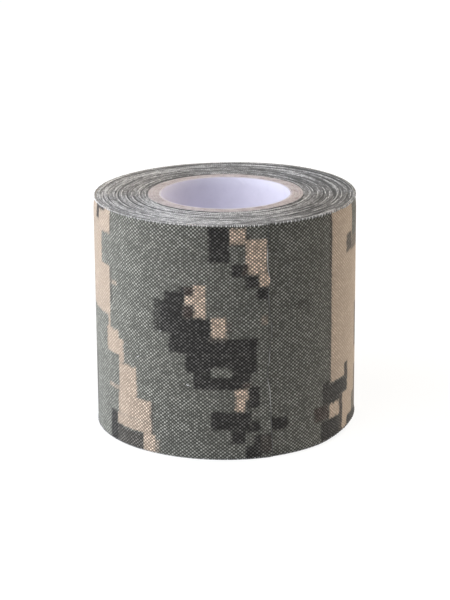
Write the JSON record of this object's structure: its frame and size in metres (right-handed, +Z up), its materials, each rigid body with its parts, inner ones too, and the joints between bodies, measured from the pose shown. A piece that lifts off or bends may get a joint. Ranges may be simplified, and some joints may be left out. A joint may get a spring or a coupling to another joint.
{
  "type": "cloth tape roll",
  "caption": "Roll of woven, printed camouflage cloth tape on a spiral-wound paper core, standing on its end, with a free end that peels off.",
  "frame": {"origin": "centre of the end face that the roll stands on", "axes": "+Z up along the roll's axis; -Y towards the front of the picture, with the free end's cut edge 18.7 degrees right of the front"},
  "size_m": [0.0557, 0.0557, 0.05],
  "materials": {
    "white_paper": "white machine-finished paper liner",
    "kraft_board": "pale kraft core board, cut edge",
    "printed_cloth": "matt plain-weave cotton with a pixel camouflage print, adhesive on the inner face"
  },
  "bodies": {
    "roll": {"core_liner": "white_paper", "core_ply_1": "kraft_board", "core_ply_2": "kraft_board", "core_ply_3": "kraft_board", "core_ply_4": "kraft_board", "tape_windings": "printed_cloth"},
    "free_end_1": {"free_end_1": "printed_cloth"},
    "free_end_2": {"free_end_2": "printed_cloth"},
    "free_end_3": {"free_end_3": "printed_cloth"},
    "free_end_4": {"free_end_4": "printed_cloth"},
    "free_end_5": {"free_end_5": "printed_cloth"},
    "free_end_6": {"free_end_6": "printed_cloth"}
  },
  "joints": [
    {"name": "peel_1", "type": "hinge", "parent": "roll", "child": "free_end_1", "pos_m": [-0.01848, -0.02104, 0], "axis": [0, 0, -1], "range_deg": [0, 25]},
    {"name": "peel_2", "type": "hinge", "parent": "free_end_1", "child": "free_end_2", "pos_m": [-0.01455, -0.02392, 0], "axis": [0, 0, -1], "range_deg": [0, 25]},
    {"name": "peel_3", "type": "hinge", "parent": "free_end_2", "child": "free_end_3", "pos_m": [-0.01017, -0.02609, 0], "axis": [0, 0, -1], "range_deg": [0, 25]},
    {"name": "peel_4", "type": "hinge", "parent": "free_end_3", "child": "free_end_4", "pos_m": [-0.00549, -0.02746, 0], "axis": [0, 0, -1], "range_deg": [0, 25]},
    {"name": "peel_5", "type": "hinge", "parent": "free_end_4", "child": "free_end_5", "pos_m": [-0.00064, -0.02799, 0], "axis": [0, 0, -1], "range_deg": [0, 25]},
    {"name": "peel_6", "type": "hinge", "parent": "free_end_5", "child": "free_end_6", "pos_m": [0.00424, -0.02768, 0], "axis": [0, 0, -1], "range_deg": [0, 25]}
  ],
  "couplings": [
    {"joint": "peel_2", "follows": "peel_1", "ratio": 1},
    {"joint": "peel_3", "follows": "peel_1", "ratio": 1},
    {"joint": "peel_4", "follows": "peel_1", "ratio": 1},
    {"joint": "peel_5", "follows": "peel_1", "ratio": 1},
    {"joint": "peel_6", "follows": "peel_1", "ratio": 1}
  ]
}
